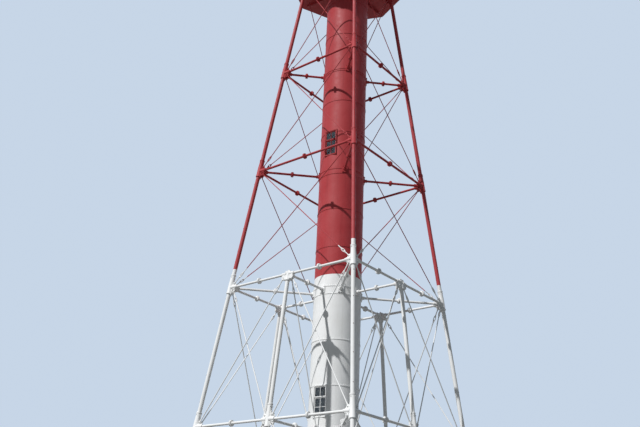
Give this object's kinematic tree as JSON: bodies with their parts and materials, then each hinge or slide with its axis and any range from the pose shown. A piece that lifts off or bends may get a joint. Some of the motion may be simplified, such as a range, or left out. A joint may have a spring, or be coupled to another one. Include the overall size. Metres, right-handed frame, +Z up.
{
  "type": "skeleton lighthouse",
  "caption": "Skeleton lighthouse: four leaning pipe legs with side posts, struts and crossed tie rods around a stair cylinder, with gallery, watch room and lantern on top.",
  "frame": {"origin": "centre of the tower's plan at ground level", "axes": "+Z up along the stair cylinder; +X through the right leg, +Y through the back leg, -Y through the front leg, the one nearest the camera in the picture"},
  "size_m": [12.829, 12.829, 31.62],
  "materials": {
    "white_paint": "semi-gloss white paint over riveted iron, rust stains at joints",
    "red_paint": "semi-gloss dark red paint over riveted iron",
    "two_tone_paint": "white paint up to the paint line over the second level, dark red above",
    "concrete": "weathered concrete",
    "glass": "clear window glass"
  },
  "bodies": {
    "root": {"back_leg": "two_tone_paint", "corner_footings": "concrete", "cylinder_footing": "concrete", "entrance_door": "white_paint", "entrance_frame": "white_paint", "front_leg": "two_tone_paint", "gallery_deck": "red_paint", "gallery_joists": "red_paint", "gallery_railing": "red_paint", "lantern_deck": "red_paint", "lantern_mullions": "red_paint", "lantern_panes": "glass", "lantern_parapet": "red_paint", "lantern_railing": "red_paint", "lantern_roof": "red_paint", "left_leg": "two_tone_paint", "leg_heads": "red_paint", "leg_joints_level_1": "white_paint", "leg_joints_level_2": "white_paint", "leg_joints_level_3": "red_paint", "leg_joints_level_4": "red_paint", "leg_shoes": "white_paint", "lower_stair_cylinder": "white_paint", "post_caps_level_2": "white_paint", "post_footings": "concrete", "post_joints_level_1": "white_paint", "post_shoes": "white_paint", "radial_struts_level_1": "white_paint", "radial_struts_level_2": "white_paint", "radial_struts_level_3": "red_paint", "radial_struts_level_4": "red_paint", "right_leg": "two_tone_paint", "side_posts": "white_paint", "side_struts_level_1": "white_paint", "side_struts_level_2": "white_paint", "side_struts_level_3": "red_paint", "side_struts_level_4": "red_paint", "strut_seats": "two_tone_paint", "tie_rods_tier_1": "white_paint", "tie_rods_tier_2": "white_paint", "tie_rods_tier_3": "red_paint", "tie_rods_tier_4": "red_paint", "tie_rods_tier_5": "red_paint", "upper_stair_cylinder": "red_paint", "ventilator": "red_paint", "watch_room_door": "red_paint", "watch_room_walls": "red_paint", "watch_room_windows": "glass", "window_frames": "two_tone_paint", "window_sashes": "glass"}
  },
  "joints": []
}
